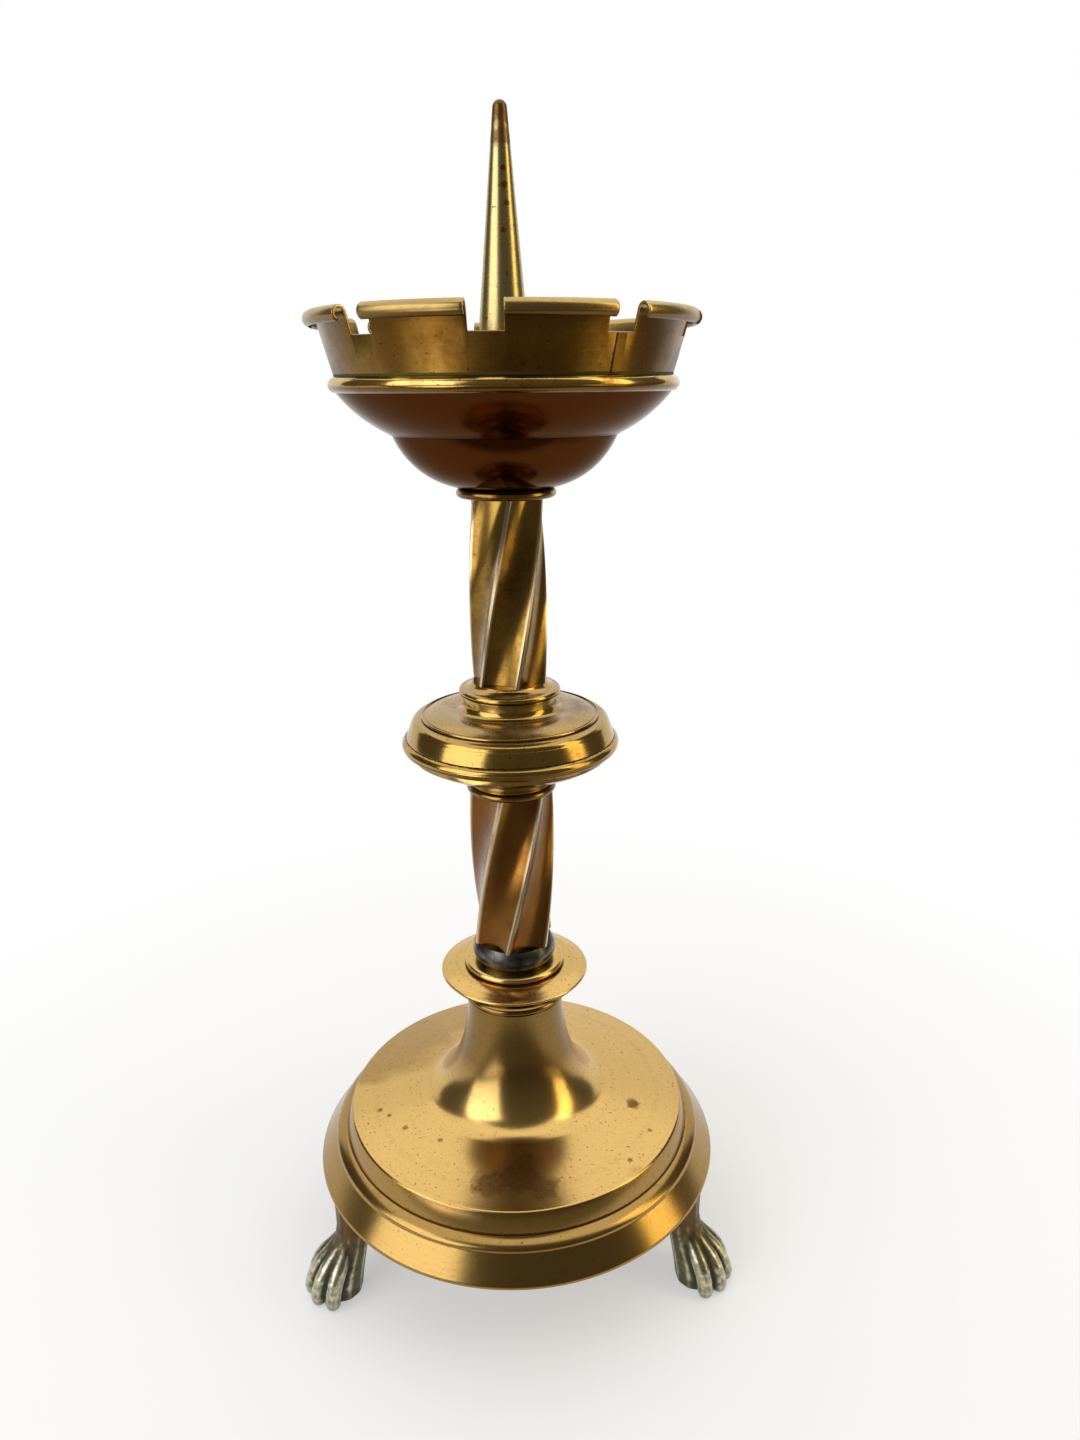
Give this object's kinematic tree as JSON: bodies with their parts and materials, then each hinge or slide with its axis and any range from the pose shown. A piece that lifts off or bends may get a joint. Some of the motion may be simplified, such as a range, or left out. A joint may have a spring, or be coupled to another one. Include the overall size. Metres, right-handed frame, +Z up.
{
  "type": "pricket candle stand",
  "caption": "Brass altar pricket stand: spike in a battlemented drip pan, twisted fluted stems around a knop, trumpet base with a moulded rim and lion-paw feet.",
  "frame": {"origin": "point on the surface that the feet rest on, under the stand's axis", "axes": "+Z up along the stand's axis; -Y towards the viewer of the picture; the hidden foot lies at +Y"},
  "size_m": [0.1494, 0.1554, 0.375],
  "materials": {
    "base_brass": "aged polish with brown stains",
    "stem_brass": "polished ridges, dark in the flutes",
    "knop_brass": "polished bands, dusty shoulder",
    "bowl_brass": "glossy, toned brown",
    "gallery_brass": "satin, toned brown gold",
    "spike_brass": "dull and pale with dark spots",
    "paw_brass": "bright ridges, black recesses",
    "packing_metal": "dull dark grey",
    "hidden_iron": "dark, unpolished"
  },
  "bodies": {
    "stand": {"base_collar": "base_brass", "base_dome": "base_brass", "base_nut": "hidden_iron", "base_rim": "base_brass", "base_washer": "hidden_iron", "foot_back": "paw_brass", "foot_left": "paw_brass", "foot_right": "paw_brass", "foot_studs": "hidden_iron", "knop_bead": "knop_brass", "knop_collar": "stem_brass", "knop_foot_ring": "stem_brass", "knop_lower": "knop_brass", "knop_upper": "knop_brass", "pan_belt": "gallery_brass", "pan_bowl": "bowl_brass", "pan_collar": "stem_brass", "pan_cup": "bowl_brass", "pan_gallery": "gallery_brass", "stem_lower": "stem_brass", "stem_packing": "packing_metal", "stem_upper": "stem_brass", "tie_rod": "hidden_iron"},
    "washer": {"pricket_washer": "spike_brass"},
    "pricket": {"pricket": "spike_brass"}
  },
  "joints": [
    {"name": "pricket_turn", "type": "hinge", "parent": "stand", "child": "washer", "pos_m": [0, 0, 0.28992], "axis": [0, 0, 1], "range_deg": [0, 2881]},
    {"name": "pricket_lift", "type": "slide", "parent": "washer", "child": "pricket", "axis": [0, 0, 1], "range_m": [0, 0.01129]}
  ],
  "couplings": [
    {"joint": "pricket_turn", "follows": "pricket_lift", "rad_per_m": 4453}
  ]
}
